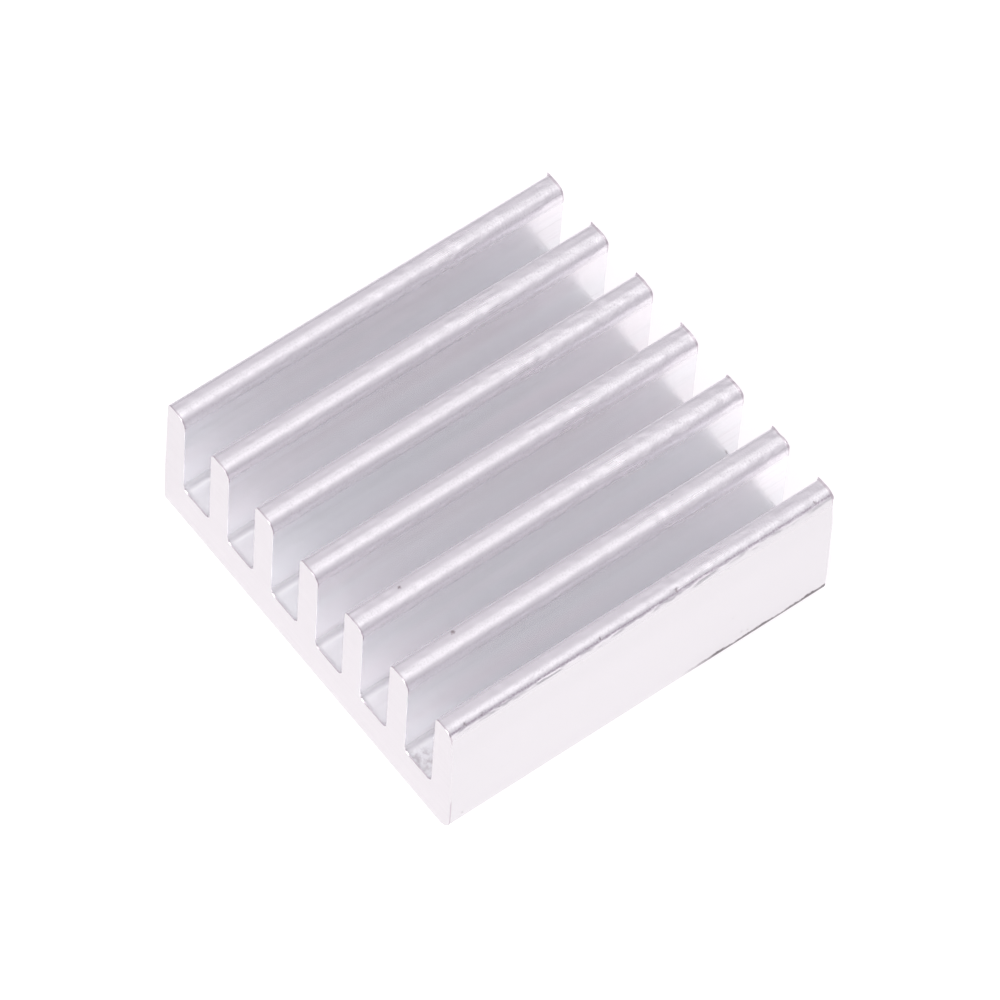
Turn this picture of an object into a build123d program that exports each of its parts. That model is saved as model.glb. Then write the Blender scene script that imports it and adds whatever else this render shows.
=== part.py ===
"""Straight-fin heat sink: one sawn length of extruded aluminium comb profile.

Frame: origin at the centre of the underside, X across the fins, Y along them, Z up.
All sizes are in millimetres.
"""
import os

from build123d import *

# Overall size of the sawn piece
base_width = 16.0
cut_length = 15.8
total_height = 6.0

# Comb profile
base_thickness = 1.8
fin_count = 7
fin_thickness = 1.0
outer_fin_extra = 0.06  # how much thicker an outer fin is at its root than an inner one
outer_face_lean = 0.11  # how far each outer face leans in from the base to the tip

# Corners of the profile
round_crown_radius = 0.415  # corner of each crown on the +X side
tight_crown_radius = 0.18  # corner of each crown on the -X side
root_radius = 0.26
eased_edge_radius = 0.6  # long bottom edge on the +X side
crisp_edge_radius = 0.1  # long bottom edge on the -X side

# Sizes that follow
half_width = base_width / 2
fin_pitch = (base_width - fin_thickness - 2 * outer_fin_extra) / (fin_count - 1)
gap_width = fin_pitch - fin_thickness
gap_depth = total_height - base_thickness
gap_centres = [(i - (fin_count - 2) / 2) * fin_pitch for i in range(fin_count - 1)]


with BuildPart() as heat_sink:
    with BuildSketch(Plane.XZ) as profile:
        # Outer outline: upright sides up to the top of the base, then the leaning outer faces
        with BuildLine():
            Polyline(
                (-half_width, 0),
                (half_width, 0),
                (half_width, base_thickness),
                (half_width - outer_face_lean, total_height),
                (-half_width + outer_face_lean, total_height),
                (-half_width, base_thickness),
                close=True,
            )
        make_face()

        # The gaps between the fins, open at the top
        with Locations(*[(x, base_thickness) for x in gap_centres]):
            Rectangle(gap_width, gap_depth, align=(Align.CENTER, Align.MIN), mode=Mode.SUBTRACT)

        # Round the crowns, the roots and the two long bottom edges
        crown_corners = profile.vertices().group_by(Axis.Y)[-1].sort_by(Axis.X)
        fillet(crown_corners[0::2], radius=tight_crown_radius)
        crown_ends = profile.vertices().group_by(Axis.Y)[-1].sort_by(Axis.X)
        fillet(crown_ends[1::2], radius=round_crown_radius)
        roots = profile.vertices().filter_by_position(
            Axis.Y, base_thickness - root_radius / 2, base_thickness + root_radius / 2
        )
        fillet([v for v in roots if abs(v.X) < half_width - fin_thickness / 2], radius=root_radius)
        bottom = profile.vertices().group_by(Axis.Y)[0].sort_by(Axis.X)
        fillet(bottom[0], radius=crisp_edge_radius)
        fillet(profile.vertices().group_by(Axis.Y)[0].sort_by(Axis.X)[-1], radius=eased_edge_radius)
    extrude(amount=cut_length / 2, both=True)

heat_sink.part.label = "heat_sink"
os.makedirs("parts", exist_ok=True)
export_step(heat_sink.part, "parts/heat_sink.step")
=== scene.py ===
"""Small straight-fin heat sink: the looks of one sawn length of extruded aluminium comb.

One fine mesh stands for the CAD solid. It follows the same comb profile and adds the die lines,
the worn crowns, the nicks and the burred rims of the sawn ends.
Sizes are in millimetres until a mesh, a light or the camera is made.
"""

import math
from types import SimpleNamespace

import bpy
import numpy as np
from mathutils import Matrix, Vector
from mathutils.geometry import delaunay_2d_cdt


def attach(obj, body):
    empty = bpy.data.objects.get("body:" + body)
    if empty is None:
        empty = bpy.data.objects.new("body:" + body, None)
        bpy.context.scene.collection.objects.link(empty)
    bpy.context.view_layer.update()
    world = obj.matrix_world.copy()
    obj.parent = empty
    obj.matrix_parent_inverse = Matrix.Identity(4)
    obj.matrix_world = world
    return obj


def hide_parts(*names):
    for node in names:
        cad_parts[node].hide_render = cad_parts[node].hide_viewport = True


MM = 0.001

# Comb profile, the sizes of the CAD part
BASE_WIDTH = 16.0
CUT_LENGTH = 15.8
TOTAL_HEIGHT = 6.0
BASE_THICKNESS = 1.8
FIN_COUNT = 7
FIN_THICKNESS = 1.0
OUTER_FIN_EXTRA = 0.06
OUTER_FACE_LEAN = 0.11
ROUND_CROWN_RADIUS = 0.415
TIGHT_CROWN_RADIUS = 0.18
ROOT_RADIUS = 0.26
EASED_EDGE_RADIUS = 0.6
CRISP_EDGE_RADIUS = 0.1

# Sizes that follow
HALF_WIDTH = BASE_WIDTH / 2
HALF_LENGTH = CUT_LENGTH / 2
LAST_FIN = FIN_COUNT - 1
FIN_PITCH = (BASE_WIDTH - FIN_THICKNESS - 2 * OUTER_FIN_EXTRA) / LAST_FIN
GAP_WIDTH = FIN_PITCH - FIN_THICKNESS
LEAN_ANGLE = math.atan2(OUTER_FACE_LEAN, TOTAL_HEIGHT - BASE_THICKNESS)

# Spacing of the mesh. The steps run round the profile and the rows along the fins. Only the crowns
# have every row, and END_ROWS are the closer ones beside each sawn end.
CROWN_STEP = 0.038
WALL_STEP = 0.24
FLOOR_STEP = 0.15
BOTTOM_STEP = 0.4
MIDDLE_ROWS = 181
COARSE_EVERY = 3
END_ROWS = (0, 0.012, 0.03, 0.055, 0.09, 0.14, 0.2)
END_CLEARANCE = 0.08
SHARP_ANGLE = 50

# Heights of the die lines and of the unevenness of the handled crowns
WIDE_LINE_HEIGHT = 0.0016
NARROW_LINE_HEIGHT = 0.0004
CROWN_UNEVENNESS = 0.0065

# Seed of all random marks
SEED = 29

# Number of random dents on a crown: on its +X shoulder, on that of the last fin, and on its top
SHOULDER_DENTS = 26
LAST_SHOULDER_DENTS = 70
TOP_DENTS = 30

# Sawn rims: how far they are broken over, the lip of the gap floors, and the burr of the far end
RIM_RADIUS = 0.005
FLOOR_LIP = 0.012
FLOOR_LIP_SETBACK = 0.045
FLOOR_LIP_WIDTH = 0.035
FAR_HOOK = 0.08
FAR_LIP = 0.02
FAR_BURR_WIDTH = 0.03
FAR_BURR_REACH = 0.05

# How far the outer shoulder of the last fin is rubbed down, how much that varies, and where it ends
# on the outer face
SHOULDER_WEAR = 0.085
WIDE_WEAR = 0.008
FINE_WEAR = 0.006
WEAR_BOTTOM = 4.3

# How far the flat top of a crown falls away towards its tight corner
CROWN_FALL = 0.01

# Dents on the crowns that the photo shows: fin, place aside of its middle towards +X, place along Y,
# half length along Y, half width across and depth
SEEN_DENTS = (
    (1, 0.42, -5.48, 0.16, 0.05, 0.03),
    (1, 0.35, -4.47, 0.12, 0.05, 0.02),
    (2, 0.02, -4.86, 0.25, 0.02, 0.008),
    (6, 0.22, -7.23, 0.18, 0.07, 0.02),
    (6, 0.25, -6.53, 0.22, 0.07, 0.025),
    (6, 0.30, -5.90, 0.15, 0.06, 0.02),
    (6, 0.23, -1.69, 0.14, 0.06, 0.02),
    (6, 0.21, 1.48, 0.16, 0.08, 0.03),
    (6, 0.21, 7.27, 0.12, 0.06, 0.02),
)

# Dark specks of grime on the crowns: fin, place aside of its middle, place along Y and radius
CROWN_SPECKS = (
    (4, -0.20, -5.90, 0.05),
    (5, -0.29, -5.51, 0.06),
    (6, 0.24, -7.23, 0.06),
    (6, 0.27, -6.53, 0.065),
    (6, 0.34, -5.90, 0.055),
    (6, 0.22, -1.69, 0.05),
    (6, 0.20, 1.48, 0.07),
    (6, 0.20, 7.27, 0.05),
)

# Other dark specks of grime that the photo shows: place and radius
SEEN_SPECKS = (
    ((2.98, 7.32, 3.05), 0.025),
    ((2.98, 7.36, 2.95), 0.03),
    ((2.98, 7.39, 2.85), 0.03),
    ((2.98, 7.43, 2.75), 0.025),
    ((8.0, 4.28, 1.03), 0.025),
    ((8.0, 4.56, 0.86), 0.02),
    ((8.0, 3.84, 2.31), 0.025),
    ((8.0, -7.36, 0.75), 0.03),
)
GRIMY_FLOOR = (6.1, -7.65, 1.8)
GRIMY_FLOOR_RADIUS = 0.6
SPECK_WOBBLE = 0.08
SPECK_SPREAD = 1.6

# Lines of painted shade: where along Y that of each rim starts and is full, where along Y the painted
# contact shadow along the bottom edge does, and at what heights this one ends and is full
NEAR_RIM_SHADE = (-7.83, -7.87)
FAR_RIM_SHADE = (7.85, 7.88)
BOTTOM_SHADOW_START = (1.8, 3.2)
BOTTOM_SHADOW_TOP = (0.67, 0.61)

# Tones of the metal, linear RGBA
WARM_TONE = (0.985, 0.955, 0.985, 1)
COOL_TONE = (0.96, 0.965, 0.99, 1)
# Painted shade: the gap floors and root fillets, low down in the recesses, are darker
GAP_FLOOR_SHADE_TONE = (0.82, 0.81, 0.83, 1)
CROWN_TONE = (0.945, 0.915, 0.95, 1)
# Painted shade: the round +X flank and the -X top edge of each crown are darker
FLANK_SHADE_TONE = (0.73, 0.695, 0.74, 1)
# Painted light: the tight corners get a tone that evens out the dark line of shade at their edge
TIGHT_CORNER_LIGHT_TONE = (0.88, 0.85, 0.89, 1)
HANDLED_TONE = (0.74, 0.70, 0.74, 1)
# Painted shade: the outer faces of the comb are darker, against the strong front light
SIDE_SHADE_TONE = (0.71, 0.695, 0.71, 1)
LINE_TONE = (0.72, 0.705, 0.73, 1)
SAWN_TONE = (0.68, 0.66, 0.675, 1)
SAWN_CLOUD_TONE = (0.67, 0.65, 0.665, 1)
TEETH_TONE = (0.65, 0.625, 0.645, 1)

# Tones of the wear, of the dirt on it and of painted shade
# Partly rubbed wear on the last fin's shoulder, partly painted shade on the shoulders of every crown
SHOULDER_WEAR_AND_SHADE_TONE = (0.50, 0.43, 0.50, 1)
# Painted shade along the burred rims of the sawn ends
RIM_SHADE_TONE = (0.50, 0.43, 0.48, 1)
GRIME_TONE = (0.34, 0.29, 0.31, 1)
# Painted contact shadow along the far half of the eased bottom edge
BOTTOM_SHADOW_TONE = (0.08, 0.06, 0.07, 1)

# Metal: how metallic, scales of the textures that are drawn out along one axis, and depths of the
# bumps in the material
EXTRUDED_METALLIC = 0.72
SAWN_METALLIC = 0.8
LINE_STRETCH = (1.0, 0.012, 1.0)
SCRATCH_STRETCH = (1.0, 0.2, 1.0)
CLOUD_STRETCH = (1.0, 0.12, 1.0)
TEETH_STRETCH = (0.08, 1.0, 1.0)
LINE_BUMP = 0.002
SPECKLE_BUMP = 0.009
SCRATCH_BUMP = 0.003
TEETH_BUMP = 0.004

# Studio, in metres: the glowing ground, the sky that brightens along SKY_AXIS, and the softboxes with
# name, place, width, depth and radiance
GROUND_REACH = 3.0
GROUND_TONE = (0.25, 0.25, 0.25, 1)
GROUND_GLOW = (1, 0.96, 0.99, 1)
GROUND_GLOW_STRENGTH = 0.84
SKY_AXIS = (-0.10, 0.0, 0.995)
LOW_SKY = (0.40, 0.388, 0.42, 1)
HIGH_SKY = (0.70, 0.685, 0.71, 1)
SOFTBOXES = (
    ("overhead_softbox", (0.02, 0.0, 0.5), 0.34, 0.6, 0.39),
    ("front_softbox", (0.2, -0.42, 0.42), 0.6, 0.5, 6.0),
)

# Camera, read off the photo's straight edges
CAMERA_AZIMUTH = 49.0847
CAMERA_ELEVATION = 58.3193
CAMERA_ROLL = 4.5973
CAMERA_TARGET = (0.0, 0.0, 2.4)
CAMERA_DISTANCE = 291.556
CAMERA_OFFSET = (-0.11224, -0.24139)
CAMERA_LENS = 313.654
SENSOR_WIDTH = 36.0


# Comb profile


def fin_centre(fin):
    return (fin - LAST_FIN / 2) * FIN_PITCH


def corner_radius(side):
    return ROUND_CROWN_RADIUS if side > 0 else TIGHT_CROWN_RADIUS


def face_lean(fin, side):
    """How far the face below a crown leans in: only the two outer faces of the comb do."""
    return LEAN_ANGLE if (fin, side) in ((0, -1), (LAST_FIN, 1)) else 0.0


def corner_centre(fin, side):
    """Centre of the round corner of a fin's crown on one side, -1 or 1."""
    radius = corner_radius(side)
    z = TOTAL_HEIGHT - radius
    if face_lean(fin, side):
        reach = radius + (z - BASE_THICKNESS) * math.sin(LEAN_ANGLE)
        return side * (HALF_WIDTH - reach / math.cos(LEAN_ANGLE)), z
    return fin_centre(fin) + side * (FIN_THICKNESS / 2 - radius), z


def line(start, end, step):
    """Points from start towards end, without end, and their outward normals."""
    start = np.array(start, float)
    end = np.array(end, float)
    length = np.linalg.norm(end - start)
    count = max(1, round(length / step))
    share = np.arange(count)[:, None] / count
    tangent = (end - start) / length
    normals = np.tile((tangent[1], -tangent[0]), (count, 1))
    return start + share * (end - start), normals


def arc(centre, radius, first, last, step, hollow=False):
    """Points on a circle from one angle to another, without the last, and their outward normals."""
    count = max(3, round(abs(last - first) * radius / step))
    angles = first + (last - first) * np.arange(count) / count
    outward = np.stack([np.cos(angles), np.sin(angles)], 1)
    return np.array(centre) + radius * outward, -outward if hollow else outward


def crown_runs(fin):
    """The two round corners of a crown and the flat between them, from +X to -X."""
    right = corner_centre(fin, 1)
    left = corner_centre(fin, -1)
    first = face_lean(fin, 1)
    last = math.pi - face_lean(fin, -1)
    yield arc(right, ROUND_CROWN_RADIUS, first, math.pi / 2, CROWN_STEP)
    yield line((right[0], TOTAL_HEIGHT), (left[0], TOTAL_HEIGHT), CROWN_STEP)
    yield arc(left, TIGHT_CROWN_RADIUS, math.pi / 2, last, CROWN_STEP)


def crown_end(fin, side):
    """Where a crown's round corner meets the face below it."""
    x, z = corner_centre(fin, side)
    radius = corner_radius(side)
    lean = face_lean(fin, side)
    return x + side * radius * math.cos(lean), z + radius * math.sin(lean)


def gap_runs(fin):
    """The gap on the -X side of a fin, from the fin's crown down, across and up to the next crown."""
    right = fin_centre(fin) - FIN_THICKNESS / 2
    left = right - GAP_WIDTH
    root_z = BASE_THICKNESS + ROOT_RADIUS
    right_root = (right - ROOT_RADIUS, root_z)
    left_root = (left + ROOT_RADIUS, root_z)
    floor_ends = (right_root[0], BASE_THICKNESS), (left_root[0], BASE_THICKNESS)
    quarter = math.pi / 2
    step = FLOOR_STEP / 2
    yield "wall", fin, line(crown_end(fin, -1), (right, root_z), WALL_STEP)
    yield "root", fin, arc(right_root, ROOT_RADIUS, 0, -quarter, step, hollow=True)
    yield "floor", fin, line(*floor_ends, FLOOR_STEP)
    yield "root", fin - 1, arc(left_root, ROOT_RADIUS, -quarter, -2 * quarter, step, hollow=True)
    yield "wall", fin - 1, line((left, root_z), crown_end(fin - 1, 1), WALL_STEP)


def comb_runs():
    """Every stretch of the outline in order, with its zone and its fin, from the lower -X corner."""
    eased, crisp, top = EASED_EDGE_RADIUS, CRISP_EDGE_RADIUS, BASE_THICKNESS
    quarter = math.pi / 2
    yield "bottom", -1, line((-HALF_WIDTH + crisp, 0), (HALF_WIDTH - eased, 0), BOTTOM_STEP)
    yield "side", LAST_FIN, arc((HALF_WIDTH - eased, eased), eased, -quarter, 0, 2 * CROWN_STEP)
    yield "side", LAST_FIN, line((HALF_WIDTH, eased), (HALF_WIDTH, top), WALL_STEP)
    yield "side", LAST_FIN, line((HALF_WIDTH, top), crown_end(LAST_FIN, 1), WALL_STEP)
    for fin in reversed(range(FIN_COUNT)):
        for run in crown_runs(fin):
            yield "crown", fin, run
        if fin > 0:
            yield from gap_runs(fin)
    yield "side", 0, line(crown_end(0, -1), (-HALF_WIDTH, top), WALL_STEP)
    yield "side", 0, line((-HALF_WIDTH, top), (-HALF_WIDTH, crisp), WALL_STEP)
    yield "side", 0, arc((-HALF_WIDTH + crisp, crisp), crisp, 2 * quarter, 3 * quarter, CROWN_STEP)


def comb_profile():
    """The outline as a closed ring of points. Each has its normal, zone and fin, how far aside of the
    fin's middle it lies, the tilt of its normal in degrees and its distance round the ring."""
    points, normals, zones, fins = [], [], [], []
    for zone, fin, (run_points, run_normals) in comb_runs():
        points.append(run_points)
        normals.append(run_normals)
        zones += [zone] * len(run_points)
        fins += [fin] * len(run_points)
    points = np.concatenate(points)
    normals = np.concatenate(normals)
    steps = np.linalg.norm(np.diff(points, axis=0), axis=1)
    return SimpleNamespace(
        points=points,
        normals=normals,
        zones=np.array(zones),
        fins=np.array(fins),
        asides=points[:, 0] - [fin_centre(fin) for fin in fins],
        tilts=np.degrees(np.arctan2(normals[:, 0], normals[:, 1])),
        distances=np.concatenate([[0], np.cumsum(steps)]),
    )


def lengthwise_rows():
    """Places of the mesh rows along Y, closest at the sawn ends, and which of them run all round."""
    ends = np.array(END_ROWS)
    clear = ends[-1] + END_CLEARANCE
    middle = np.linspace(clear, CUT_LENGTH - clear, MIDDLE_ROWS)
    places = np.concatenate([ends, middle, CUT_LENGTH - ends[::-1]]) - HALF_LENGTH
    all_round = np.zeros(len(places), bool)
    all_round[: len(ends)] = True
    all_round[-len(ends) :] = True
    all_round[len(ends) : len(ends) + MIDDLE_ROWS : COARSE_EVERY] = True
    return places, all_round


# Relief: how far each point of the mesh stands out from the plain comb


def soft_noise(rng, across, along, cell_across, cell_along):
    """A smooth random field of about unit size over distance round the profile and place along Y."""
    u = (across - across.min()) / cell_across
    v = (along - along.min()) / cell_along
    lattice = rng.standard_normal((int(u.max()) + 2, int(v.max()) + 2))
    i, j = u.astype(int), v.astype(int)
    a, b = u - i, v - j
    a, b = (a * a * (3 - 2 * a))[:, None], (b * b * (3 - 2 * b))[None, :]
    near = lattice[i][:, j] * (1 - b) + lattice[i][:, j + 1] * b
    far = lattice[i + 1][:, j] * (1 - b) + lattice[i + 1][:, j + 1] * b
    return near * (1 - a) + far * a


def bell(value, centre, half_width):
    return np.exp(-(((value - centre) / half_width) ** 2))


def ramp(value, start, end):
    """0 before start, 1 after end and smooth between them. End may be the lower one."""
    share = np.clip((value - start) / (end - start), 0, 1)
    return share * share * (3 - 2 * share)


def die_lines(rng, ring, rows):
    """Shallow lines along the fins, which the extrusion die leaves."""
    wide = soft_noise(rng, ring.distances, rows, 0.5, 12.0)
    narrow = soft_noise(rng, ring.distances, rows, 0.12, 9.0)
    return WIDE_LINE_HEIGHT * wide + NARROW_LINE_HEIGHT * narrow


def dent(ring, rows, fin, aside, place, half_length, half_width, depth):
    """A dent with a low raised rim on a crown, some way aside of its middle towards +X."""
    crown = np.flatnonzero((ring.zones == "crown") & (ring.fins == fin))
    spot = crown[np.argmin(np.abs(ring.points[crown, 0] - fin_centre(fin) - aside))]
    across = (ring.distances[:, None] - ring.distances[spot]) / half_width
    along = (rows[None, :] - place) / half_length
    far = across**2 + along**2
    return -depth * (1 - 0.6 * far) * np.exp(-far)


def shoulder_dent(rng, fin):
    """Values of a random dent on the +X shoulder of a crown, as dent() takes them."""
    aside = rng.normal(0.32 if fin == LAST_FIN else 0.38, 0.06)
    place = rng.uniform(-HALF_LENGTH, HALF_LENGTH)
    return aside, place, rng.uniform(0.05, 0.25), rng.uniform(0.03, 0.06), rng.uniform(0.003, 0.012)


def top_dent(rng):
    """Values of a random dent on the top of a crown, as dent() takes them."""
    aside = rng.uniform(-0.4, 0.3)
    place = rng.uniform(-HALF_LENGTH, HALF_LENGTH)
    return aside, place, rng.uniform(0.04, 0.12), 0.04, rng.uniform(0.002, 0.005)


def random_dents(rng, ring, rows):
    """Small handling marks, most of them on the +X shoulders and on the last fin."""
    height = np.zeros((len(ring.points), len(rows)))
    for fin in range(FIN_COUNT):
        for _ in range(LAST_SHOULDER_DENTS if fin == LAST_FIN else SHOULDER_DENTS):
            height += dent(ring, rows, fin, *shoulder_dent(rng, fin))
        for _ in range(TOP_DENTS):
            height += dent(ring, rows, fin, *top_dent(rng))
    return height


def handled_crowns(rng, ring, rows):
    """The crowns are slightly uneven, more so towards the far end."""
    top = (ring.zones == "crown") * ramp(ring.tilts, -70, -30)
    uneven = soft_noise(rng, ring.distances, rows, 0.13, 0.28)
    along = 0.3 + 0.7 * ramp(rows, -2.0, 5.0)
    return CROWN_UNEVENNESS * top[:, None] * uneven * along[None, :]


def crown_slope(ring):
    """How far the top of a crown and its tight corner fall away towards -X."""
    reach = FIN_THICKNESS / 2 - TIGHT_CROWN_RADIUS
    share = np.clip(-ring.asides / reach, 0, None)
    fall = np.where(share < 1, share**2, 2 * share - 1)
    return CROWN_FALL * (ring.zones == "crown") * fall


def worn_shoulder(rng, ring, rows):
    """The outer shoulder of the last fin is rubbed down, unevenly along its length."""
    outer = ring.fins == LAST_FIN
    on_crown = (ring.zones == "crown") * np.clip((ring.tilts + 5) / 60, 0, 1)
    crown_foot = TOTAL_HEIGHT - ROUND_CROWN_RADIUS
    on_face = (ring.zones == "side") * ramp(ring.points[:, 1], WEAR_BOTTOM, crown_foot)
    worn = outer * (on_crown + on_face)
    uneven = WIDE_WEAR * soft_noise(rng, ring.distances, rows, 0.3, 0.45)
    uneven += FINE_WEAR * soft_noise(rng, ring.distances, rows, 0.08, 0.16)
    return -worn[:, None] * (SHOULDER_WEAR + uneven * bell(ring.tilts, 42, 22)[:, None])


def sawn_rims(rng, ring, rows):
    """Both rims are broken over a little, and the floors of the gaps keep a thin raised lip."""
    from_end = HALF_LENGTH - np.abs(rows)
    rim = -RIM_RADIUS * np.clip(1 - from_end / RIM_RADIUS, 0, 1) ** 2
    uneven = 1 + 0.5 * soft_noise(rng, ring.distances, rows, 0.25, 3.0)
    low = np.isin(ring.zones, ("floor", "root"))[:, None]
    along = bell(from_end, FLOOR_LIP_SETBACK, FLOOR_LIP_WIDTH)
    lip = FLOOR_LIP * low * uneven * along[None, :]
    return rim[None, :] * uneven + lip


def far_burr(rng, ring, rows):
    """The saw's burr at the far end: a low lip round the crowns and a hook on each -X shoulder."""
    crown = ring.zones == "crown"
    lip = crown * ramp(ring.tilts, 75, 50) * ramp(ring.tilts, -95, -75)
    hook = crown * bell(ring.tilts, -52, 20)
    uneven = 1 + 0.3 * soft_noise(rng, ring.distances, rows, 0.2, 4.0)
    from_end = (HALF_LENGTH - rows)[None, :]
    thin = bell(from_end, 0, FAR_BURR_WIDTH)
    return uneven * (FAR_LIP * lip + FAR_HOOK * hook)[:, None] * thin


def relief(rng, ring, rows):
    height = die_lines(rng, ring, rows) + sawn_rims(rng, ring, rows)
    height += random_dents(rng, ring, rows) + worn_shoulder(rng, ring, rows)
    height += handled_crowns(rng, ring, rows)
    for seen in SEEN_DENTS:
        height += dent(ring, rows, *seen)
    return height


# Mesh


def swept_faces(ring, index, all_round):
    """Faces between neighbouring points of the ring: small ones on crowns, longer ones elsewhere."""
    faces = []
    rows = np.arange(len(all_round))
    for p in range(len(ring.points)):
        n = (p + 1) % len(ring.points)
        stations = rows if ring.zones[p] == "crown" else rows[all_round]
        for a, b in zip(stations[:-1], stations[1:]):
            one = index[p, a : b + 1]
            other = index[n, a : b + 1]
            faces.append(np.concatenate([one[one >= 0], other[other >= 0][::-1]]).tolist())
    return faces


def sawn_faces(ring, index):
    """The two end faces of the comb, cut into triangles."""
    count = len(ring.points)
    outline = [Vector(point) for point in ring.points]
    edges = [(k, (k + 1) % count) for k in range(count)]
    flat = delaunay_2d_cdt(outline, edges, [], 1, 1e-5)
    origins = [sources[0] for sources in flat[3]]
    near = [[int(index[origins[v], 0]) for v in triangle] for triangle in flat[2]]
    far = [[int(index[origins[v], -1]) for v in reversed(triangle)] for triangle in flat[2]]
    return near + far


def surface_shares(ring):
    """Named shares from 0 to 1 that the material reads at each point of the ring."""
    crown = (ring.zones == "crown").astype(float)
    last = ring.fins == LAST_FIN
    outer_flank = last * crown * ramp(ring.tilts, 38, 60)
    # Painted shade on the round +X flank and along the -X top edge of each crown
    round_flank = 0.8 * ramp(ring.tilts, 10, 30) * ramp(ring.tilts, 78, 55)
    top_edge = ramp(ring.asides, 0.03, -0.12) * ramp(ring.tilts, -60, -20)
    # The shoulder band: painted shade on every crown, and rubbed wear on the last fin
    shoulder = np.where(last, bell(ring.tilts, 33, 10), 0.45 * bell(ring.tilts, 50, 14))
    return {
        "crown": crown,
        "handled": crown * ramp(ring.tilts, -60, -25),
        "tight": crown * ramp(ring.tilts, -10, -35),
        "side": np.maximum(ring.zones == "side", outer_flank),
        "shoulder": crown * shoulder,
        "flank_shade": crown * np.maximum(round_flank, top_edge),
    }


def mesh_rows_kept(ring, all_round):
    """Which rows each point of the ring has: all where a crown touches it, else only the coarse ones."""
    crown = ring.zones == "crown"
    return (crown | np.roll(crown, 1))[:, None] | all_round[None, :]


def mesh_spots(rng, ring, rows):
    """The place of every point of the ring in every row."""
    burr = far_burr(rng, ring, rows)
    height = relief(rng, ring, rows) + burr
    tops = (ring.points[:, 1] - crown_slope(ring))[:, None]
    spots = np.empty((len(ring.points), len(rows), 3))
    spots[:, :, 0] = ring.points[:, 0, None] + ring.normals[:, 0, None] * height
    spots[:, :, 1] = rows[None, :] + FAR_BURR_REACH * np.minimum(burr / FAR_LIP, 1)
    spots[:, :, 2] = np.maximum(tops + ring.normals[:, 1, None] * height, 0)
    return spots


def comb_mesh():
    rng = np.random.default_rng(SEED)
    ring = comb_profile()
    rows, all_round = lengthwise_rows()
    spots = mesh_spots(rng, ring, rows)
    kept = mesh_rows_kept(ring, all_round)
    index = np.full(kept.shape, -1)
    index[kept] = np.arange(kept.sum())
    swept = swept_faces(ring, index, all_round)
    sawn = sawn_faces(ring, index)

    mesh = bpy.data.meshes.new("heat_sink_body")
    mesh.from_pydata((spots[kept] * MM).tolist(), [], swept + sawn)
    mesh.polygons.foreach_set("material_index", [0] * len(swept) + [1] * len(sawn))
    mesh.set_sharp_from_angle(angle=math.radians(SHARP_ANGLE))
    # The flat shading of the sawn faces comes after the sharp edges, which would undo it
    mesh.polygons.foreach_set("use_smooth", [True] * len(swept) + [False] * len(sawn))
    for name, share in surface_shares(ring).items():
        values = np.broadcast_to(share[:, None], kept.shape)[kept].astype(np.float32)
        mesh.attributes.new(name, "FLOAT", "POINT").data.foreach_set("value", values)
    mesh.update()
    return mesh


# Materials


class Nodes:
    """Adds shader nodes to one tree, in few words."""

    def __init__(self, tree):
        self.tree = tree

    def add(self, kind, **values):
        node = self.tree.nodes.new("ShaderNode" + kind)
        for name, value in values.items():
            setattr(node, name, value)
        return node

    def feed(self, socket, value):
        """Links value to the socket if it is another socket, and otherwise sets it."""
        if isinstance(value, bpy.types.NodeSocket):
            self.tree.links.new(value, socket)
        else:
            socket.default_value = value

    def noise(self, vector, scale, detail=2.0, rough=0.5):
        node = self.add("TexNoise")
        self.feed(node.inputs["Vector"], vector)
        self.feed(node.inputs["Scale"], scale)
        self.feed(node.inputs["Detail"], detail)
        self.feed(node.inputs["Roughness"], rough)
        return node.outputs["Fac"]

    def stretch(self, vector, scale):
        node = self.add("Mapping")
        self.feed(node.inputs["Vector"], vector)
        self.feed(node.inputs["Scale"], scale)
        return node.outputs["Vector"]

    def spread(self, value, low, high, to_low=0.0, to_high=1.0):
        """to_low where value is low, to_high where it is high, and even between them."""
        node = self.add("MapRange")
        self.feed(node.inputs["Value"], value)
        self.feed(node.inputs["From Min"], low)
        self.feed(node.inputs["From Max"], high)
        self.feed(node.inputs["To Min"], to_low)
        self.feed(node.inputs["To Max"], to_high)
        return node.outputs["Result"]

    def math(self, operation, a, b=0.0):
        node = self.add("Math", operation=operation)
        self.feed(node.inputs[0], a)
        self.feed(node.inputs[1], b)
        return node.outputs["Value"]

    def blend(self, share, a, b):
        node = self.add("Mix", data_type="RGBA")
        self.feed(node.inputs["Factor"], share)
        self.feed(node.inputs["A"], a)
        self.feed(node.inputs["B"], b)
        return node.outputs["Result"]

    def attribute(self, name):
        return self.add("Attribute", attribute_name=name).outputs["Fac"]

    def place(self):
        """The place on the object in millimetres."""
        return self.stretch(self.add("TexCoord").outputs["Object"], (1 / MM, 1 / MM, 1 / MM))

    def axis(self, vector, name):
        node = self.add("SeparateXYZ")
        self.feed(node.inputs["Vector"], vector)
        return node.outputs[name]

    def near(self, vector, place, radius):
        """1 at a place and 0 from radius on."""
        node = self.add("VectorMath", operation="DISTANCE")
        self.feed(node.inputs[0], vector)
        self.feed(node.inputs[1], place)
        return self.spread(node.outputs["Value"], radius, radius * 0.5)

    def bump(self, height, distance, normal=None):
        node = self.add("Bump")
        self.feed(node.inputs["Height"], height)
        self.feed(node.inputs["Distance"], distance * MM)
        if normal is not None:
            self.feed(node.inputs["Normal"], normal)
        return node.outputs["Normal"]


def new_material(name):
    material = bpy.data.materials.new(name)
    material.use_nodes = True
    return material, Nodes(material.node_tree), material.node_tree.nodes["Principled BSDF"]


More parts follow.
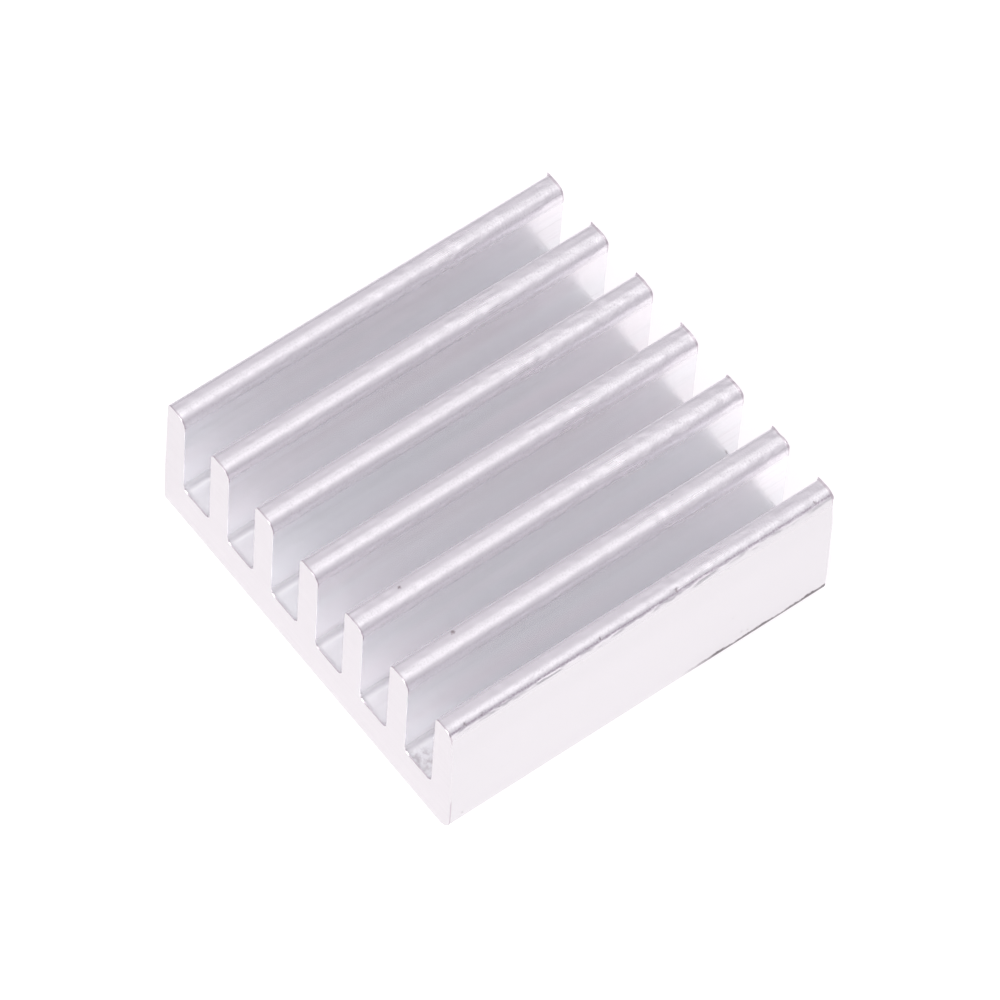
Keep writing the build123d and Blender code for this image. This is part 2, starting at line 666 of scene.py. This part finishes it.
def crown_place(fin, aside, along):
    """The point of a crown some way aside of its middle towards +X."""
    beyond = max(0.0, fin_centre(fin) + aside - corner_centre(fin, 1)[0])
    drop = ROUND_CROWN_RADIUS - math.sqrt(ROUND_CROWN_RADIUS**2 - beyond**2)
    return fin_centre(fin) + aside, along, TOTAL_HEIGHT - drop


def wobbled(nodes, place):
    """The place moved about a little at random, for specks with uneven edges."""
    cloud = nodes.add("TexNoise")
    nodes.feed(cloud.inputs["Vector"], place)
    nodes.feed(cloud.inputs["Scale"], 9.0)
    wobble = nodes.add("VectorMath", operation="MULTIPLY_ADD")
    nodes.feed(wobble.inputs[0], cloud.outputs["Color"])
    nodes.feed(wobble.inputs[1], (2 * SPECK_WOBBLE,) * 3)
    nodes.feed(wobble.inputs[2], place)
    centred = nodes.add("VectorMath", operation="SUBTRACT")
    nodes.feed(centred.inputs[0], wobble.outputs["Vector"])
    nodes.feed(centred.inputs[1], (SPECK_WOBBLE,) * 3)
    return centred.outputs["Vector"]


def grime_mask(nodes, place):
    """The dark specks of the photo and the crumbs on the floor of the last gap."""
    crumbs = nodes.spread(nodes.noise(place, 5.0, 3.0, 0.6), 0.42, 0.62, to_high=0.5)
    mask = nodes.math("MULTIPLY", nodes.near(place, GRIMY_FLOOR, GRIMY_FLOOR_RADIUS), crumbs)
    uneven = wobbled(nodes, place)
    specks = list(SEEN_SPECKS)
    for fin, aside, along, radius in CROWN_SPECKS:
        specks.append((crown_place(fin, aside, along), radius))
    for at, radius in specks:
        mask = nodes.math("MAXIMUM", nodes.near(uneven, at, radius * SPECK_SPREAD), mask)
    return mask


def worn_and_shaded_shoulder_mask(nodes, speckle):
    """The darker band along the +X shoulders, with a ragged border: painted shade on every crown, and
    rubbed wear on the last fin.
    """
    band = nodes.attribute("shoulder")
    ragged = nodes.math("ADD", band, nodes.spread(speckle, 0.3, 0.7, -0.6, 0.6))
    return nodes.math("MULTIPLY", nodes.spread(ragged, 0.45, 1.1, 0.0, 0.9), band)


def rim_shade_mask(nodes, place, crown):
    """Painted shade: the thin dark line along the burred rims of the crowns and of the gap floors."""
    along = nodes.axis(place, "Y")
    height = nodes.axis(place, "Z")
    near = nodes.spread(along, *NEAR_RIM_SHADE)
    far = nodes.spread(along, *FAR_RIM_SHADE)
    low = nodes.spread(height, 2.0, 1.85)
    near_rim = nodes.math("MULTIPLY", near, nodes.math("MAXIMUM", crown, low))
    far_rim = nodes.math("MULTIPLY", far, crown)
    return nodes.math("MULTIPLY", nodes.math("MAXIMUM", near_rim, far_rim), 0.7)


def bottom_shadow_mask(nodes, place, side, speckle):
    """Painted contact shadow: the dark ragged line along the far half of the eased bottom edge."""
    on_right = nodes.math("MULTIPLY", side, nodes.spread(nodes.axis(place, "X"), 7.0, 7.2))
    far_half = nodes.spread(nodes.axis(place, "Y"), *BOTTOM_SHADOW_START)
    waves = nodes.spread(nodes.noise(place, 1.6, 1.0), 0.35, 0.65, -0.05, 0.05)
    ragged = nodes.math("ADD", nodes.axis(place, "Z"), nodes.spread(speckle, 0.3, 0.7, -0.07, 0.07))
    shadow_share = nodes.spread(nodes.math("ADD", ragged, waves), *BOTTOM_SHADOW_TOP, to_high=0.97)
    return nodes.math("MULTIPLY", nodes.math("MULTIPLY", on_right, far_half), shadow_share)


def extruded_textures(nodes):
    """The shares and the noises that the tone, the roughness and the bumps have in common."""
    place = nodes.place()
    return SimpleNamespace(
        place=place,
        crown=nodes.attribute("crown"),
        side=nodes.attribute("side"),
        flank_shade=nodes.attribute("flank_shade"),
        tight=nodes.attribute("tight"),
        handled=nodes.attribute("handled"),
        low=nodes.spread(nodes.axis(place, "Z"), 2.2, 1.9),
        far_wear=nodes.spread(nodes.axis(place, "Y"), 0.0, 5.0),
        lines=nodes.noise(nodes.stretch(place, LINE_STRETCH), 7.0, 3.0, 0.6),
        speckle=nodes.noise(place, 14.0, 3.0, 0.65),
        scratches=nodes.noise(nodes.stretch(place, SCRATCH_STRETCH), 18.0, 2.0, 0.6),
        cloud=nodes.noise(nodes.stretch(place, CLOUD_STRETCH), 0.8, 2.0, 0.5),
    )


def clean_tone(nodes, metal):
    """The colour of the extruded faces: walls, floors, crowns and outer faces, with the die lines, with
    painted shade on the gap floors, the crown flanks and the outer faces, and painted light on the
    tight corners.
    """
    tone = nodes.blend(nodes.spread(metal.cloud, 0.38, 0.62), WARM_TONE, COOL_TONE)
    # Painted shade low down in the gaps
    tone = nodes.blend(metal.low, tone, GAP_FLOOR_SHADE_TONE)
    # Painted shade on the crown flanks
    crown_tone = nodes.blend(metal.flank_shade, CROWN_TONE, FLANK_SHADE_TONE)
    # Painted light on the tight corners
    crown_tone = nodes.blend(metal.tight, crown_tone, TIGHT_CORNER_LIGHT_TONE)
    spots = nodes.spread(metal.speckle, 0.48, 0.70, to_high=0.8)
    handled = nodes.math("MULTIPLY", spots, metal.handled)
    crown_tone = nodes.blend(handled, crown_tone, HANDLED_TONE)
    tone = nodes.blend(metal.crown, tone, crown_tone)
    # Painted shade on the outer faces
    tone = nodes.blend(metal.side, tone, SIDE_SHADE_TONE)
    return nodes.blend(nodes.spread(metal.lines, 0.52, 0.72, to_high=0.3), tone, LINE_TONE)


def worn_and_shaded_tone(nodes, metal):
    """The clean tone with the shoulders, worn and shaded, the painted shade at the rims, the grime
    specks and the painted contact shadow along the bottom edge.
    """
    tone = clean_tone(nodes, metal)
    # Painted shade on the crown shoulders, and rubbed wear on the last fin's
    tone = nodes.blend(worn_and_shaded_shoulder_mask(nodes, metal.speckle), tone, SHOULDER_WEAR_AND_SHADE_TONE)
    # Painted shade along the rims
    tone = nodes.blend(rim_shade_mask(nodes, metal.place, metal.crown), tone, RIM_SHADE_TONE)
    tone = nodes.blend(grime_mask(nodes, metal.place), tone, GRIME_TONE)
    # Painted contact shadow along the bottom edge
    bottom_shadow = bottom_shadow_mask(nodes, metal.place, metal.side, metal.speckle)
    return nodes.blend(bottom_shadow, tone, BOTTOM_SHADOW_TONE)


def extruded_roughness(nodes, metal):
    """Rougher along the die lines, on the far half of the crowns and on their tight corners."""
    worn = nodes.math("MULTIPLY", nodes.math("MULTIPLY", metal.crown, metal.far_wear), 0.08)
    rough = nodes.math("ADD", nodes.spread(metal.lines, 0.3, 0.7, 0.20, 0.25), worn)
    return nodes.math("ADD", rough, nodes.math("MULTIPLY", metal.tight, 0.45))


def extruded_normal(nodes, metal):
    """Die lines but on the tight corners, and speckle and scratches on the handled crowns."""
    lines = nodes.math("MULTIPLY", metal.lines, nodes.spread(metal.tight, 1.0, 0.0))
    uneven = nodes.math("MULTIPLY", nodes.math("ADD", metal.far_wear, 0.4), metal.handled)
    normal = nodes.bump(lines, LINE_BUMP)
    normal = nodes.bump(nodes.math("MULTIPLY", metal.speckle, uneven), SPECKLE_BUMP, normal)
    return nodes.bump(nodes.math("MULTIPLY", metal.scratches, uneven), SCRATCH_BUMP, normal)


def extruded_aluminium():
    material, nodes, shader = new_material("extruded_aluminium")
    metal = extruded_textures(nodes)
    nodes.feed(shader.inputs["Base Color"], worn_and_shaded_tone(nodes, metal))
    nodes.feed(shader.inputs["Metallic"], EXTRUDED_METALLIC)
    nodes.feed(shader.inputs["Roughness"], extruded_roughness(nodes, metal))
    nodes.feed(shader.inputs["Normal"], extruded_normal(nodes, metal))
    return material


def sawn_aluminium():
    material, nodes, shader = new_material("sawn_aluminium")
    place = nodes.place()
    teeth = nodes.noise(nodes.stretch(place, TEETH_STRETCH), 9.0, 3.0, 0.6)
    cloud = nodes.noise(place, 0.8, 2.0, 0.5)
    tone = nodes.blend(nodes.spread(cloud, 0.3, 0.7), SAWN_TONE, SAWN_CLOUD_TONE)
    tone = nodes.blend(nodes.spread(teeth, 0.5, 0.8, to_high=0.3), tone, TEETH_TONE)
    nodes.feed(shader.inputs["Base Color"], tone)
    nodes.feed(shader.inputs["Metallic"], SAWN_METALLIC)
    nodes.feed(shader.inputs["Roughness"], nodes.spread(teeth, 0.3, 0.7, 0.4, 0.5))
    nodes.feed(shader.inputs["Normal"], nodes.bump(teeth, TEETH_BUMP))
    return material


def pale_floor():
    material, nodes, shader = new_material("pale_floor")
    nodes.feed(shader.inputs["Base Color"], GROUND_TONE)
    nodes.feed(shader.inputs["Roughness"], 1.0)
    nodes.feed(shader.inputs["Specular IOR Level"], 0.0)
    nodes.feed(shader.inputs["Emission Color"], GROUND_GLOW)
    nodes.feed(shader.inputs["Emission Strength"], GROUND_GLOW_STRENGTH)
    return material


# Studio


def sky():
    """Soft light all round, brighter overhead."""
    world = bpy.data.worlds.new("studio")
    world.use_nodes = True
    bpy.context.scene.world = world
    nodes = Nodes(world.node_tree)
    upward = nodes.add("VectorMath", operation="DOT_PRODUCT")
    nodes.feed(upward.inputs[0], nodes.add("TexCoord").outputs["Generated"])
    nodes.feed(upward.inputs[1], SKY_AXIS)
    share = nodes.spread(upward.outputs["Value"], 0.3, 1.0)
    colour = nodes.blend(share, LOW_SKY, HIGH_SKY)
    nodes.feed(world.node_tree.nodes["Background"].inputs["Color"], colour)


def softbox(name, place, width, depth, radiance):
    """A rectangular area light that faces the object. Place and sizes are in metres."""
    light = bpy.data.lights.new(name, "AREA")
    light.shape = "RECTANGLE"
    light.size = width
    light.size_y = depth
    light.energy = math.pi * width * depth * radiance
    lamp = bpy.data.objects.new(name, light)
    lamp.location = place
    lamp.rotation_mode = "QUATERNION"
    lamp.rotation_quaternion = (-Vector(place)).to_track_quat("-Z", "Y")
    bpy.context.scene.collection.objects.link(lamp)


def floor():
    reach = GROUND_REACH
    corners = [(-reach, -reach, 0), (reach, -reach, 0), (reach, reach, 0), (-reach, reach, 0)]
    mesh = bpy.data.meshes.new("floor")
    mesh.from_pydata(corners, [], [(0, 1, 2, 3)])
    mesh.materials.append(pale_floor())
    plane = bpy.data.objects.new("floor", mesh)
    bpy.context.scene.collection.objects.link(plane)


def studio():
    bpy.context.scene.view_settings.view_transform = "Standard"
    sky()
    for values in SOFTBOXES:
        softbox(*values)
    floor()


def camera():
    azimuth = math.radians(CAMERA_AZIMUTH)
    rise = math.radians(CAMERA_ELEVATION)
    roll = math.radians(CAMERA_ROLL)
    flat = math.cos(rise)
    back = Vector((math.sin(azimuth) * flat, -math.cos(azimuth) * flat, math.sin(rise)))
    level = Vector((math.cos(azimuth), math.sin(azimuth), 0))
    upright = back.cross(level)
    right = level * math.cos(roll) + upright * math.sin(roll)
    top = upright * math.cos(roll) - level * math.sin(roll)
    place = Vector(CAMERA_TARGET) - right * CAMERA_OFFSET[0] - top * CAMERA_OFFSET[1]
    place += back * CAMERA_DISTANCE
    data = bpy.data.cameras.new("camera")
    data.lens = CAMERA_LENS
    data.sensor_width = SENSOR_WIDTH
    data.clip_start = 0.01
    data.clip_end = 20
    holder = bpy.data.objects.new("camera", data)
    turn = Matrix((right, top, back)).transposed()
    holder.matrix_world = Matrix.Translation(place * MM) @ turn.to_4x4()
    bpy.context.scene.collection.objects.link(holder)
    bpy.context.scene.camera = holder


def heat_sink():
    body = bpy.data.objects.new("heat_sink_body", comb_mesh())
    bpy.context.scene.collection.objects.link(body)
    body.data.materials.append(extruded_aluminium())
    body.data.materials.append(sawn_aluminium())
    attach(body, "root")
    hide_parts("heat_sink")


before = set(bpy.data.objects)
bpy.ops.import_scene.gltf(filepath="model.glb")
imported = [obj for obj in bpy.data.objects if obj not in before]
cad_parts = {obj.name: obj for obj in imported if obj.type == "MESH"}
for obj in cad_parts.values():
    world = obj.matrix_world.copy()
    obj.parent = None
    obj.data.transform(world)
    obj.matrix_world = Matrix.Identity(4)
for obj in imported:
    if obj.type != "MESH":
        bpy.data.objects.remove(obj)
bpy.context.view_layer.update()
heat_sink()
studio()
camera()
